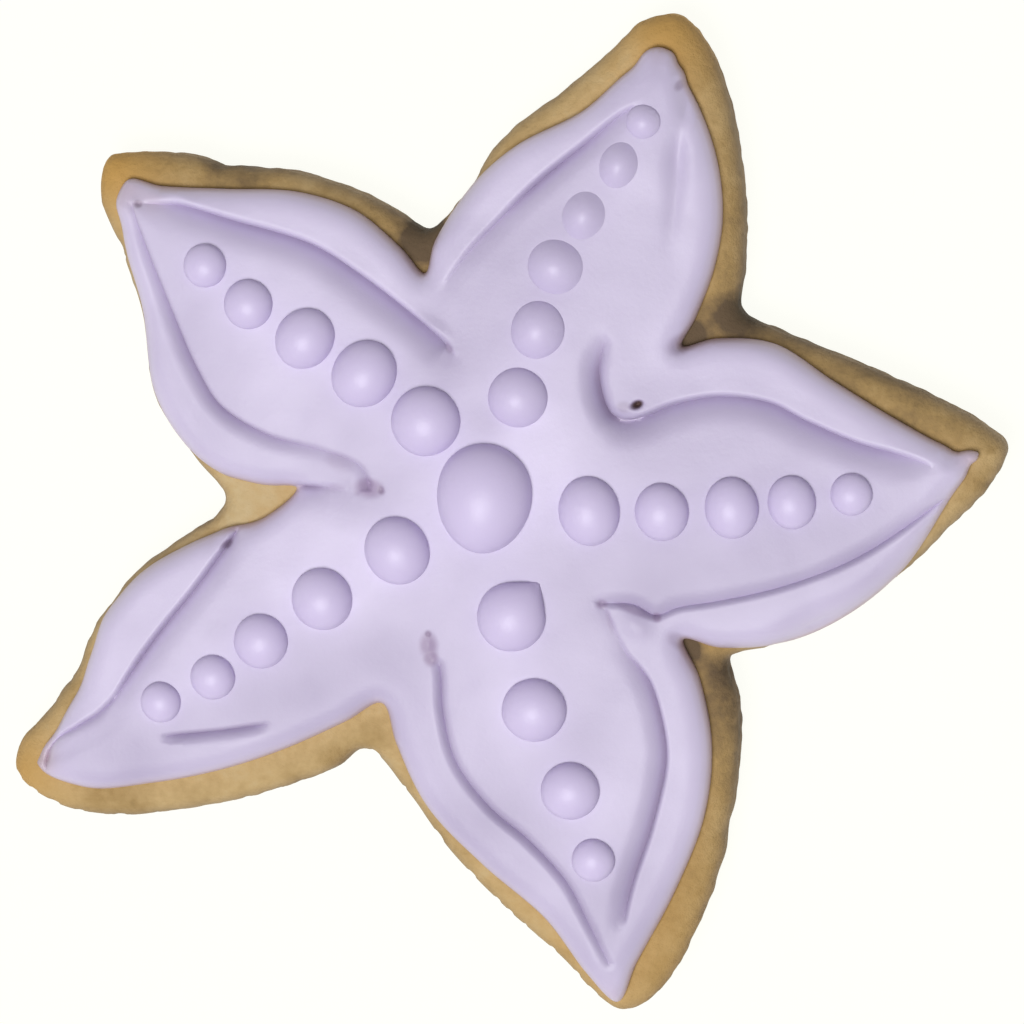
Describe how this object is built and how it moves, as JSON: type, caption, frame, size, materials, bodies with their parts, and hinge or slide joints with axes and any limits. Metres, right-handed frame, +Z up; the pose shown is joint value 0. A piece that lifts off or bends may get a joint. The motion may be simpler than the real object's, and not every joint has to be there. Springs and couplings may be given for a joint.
{
  "type": "iced sugar cookie",
  "caption": "Starfish-shaped sugar cookie: a flat baked biscuit flooded with puffy lavender icing, creased along its arms and dotted with rows of piped icing beads.",
  "frame": {"origin": "bottom centre of the whole cookie's bounding box, on the surface it lies on", "axes": "+Z up out of the iced face, +Y towards the upper arm, +X towards the right arm"},
  "size_m": [0.1022, 0.101, 0.0143],
  "materials": {
    "biscuit": "baked sugar-cookie dough, matte and crumbly, paler on top and browner along its edge",
    "icing": "dried lavender royal icing, satin, with soft wrinkles",
    "beads": "dried lavender piped icing, satin, with a soft sheen"
  },
  "bodies": {
    "root": {"biscuit": "biscuit", "icing": "icing", "bead_centre": "beads", "bead_lower_1": "beads", "bead_lower_2": "beads", "bead_lower_3": "beads", "bead_lower_4": "beads", "bead_lower_left_1": "beads", "bead_lower_left_2": "beads", "bead_lower_left_3": "beads", "bead_lower_left_4": "beads", "bead_lower_left_5": "beads", "bead_right_1": "beads", "bead_right_2": "beads", "bead_right_3": "beads", "bead_right_4": "beads", "bead_right_5": "beads", "bead_upper_1": "beads", "bead_upper_2": "beads", "bead_upper_3": "beads", "bead_upper_4": "beads", "bead_upper_5": "beads", "bead_upper_6": "beads", "bead_upper_left_1": "beads", "bead_upper_left_2": "beads", "bead_upper_left_3": "beads", "bead_upper_left_4": "beads", "bead_upper_left_5": "beads"}
  },
  "joints": []
}
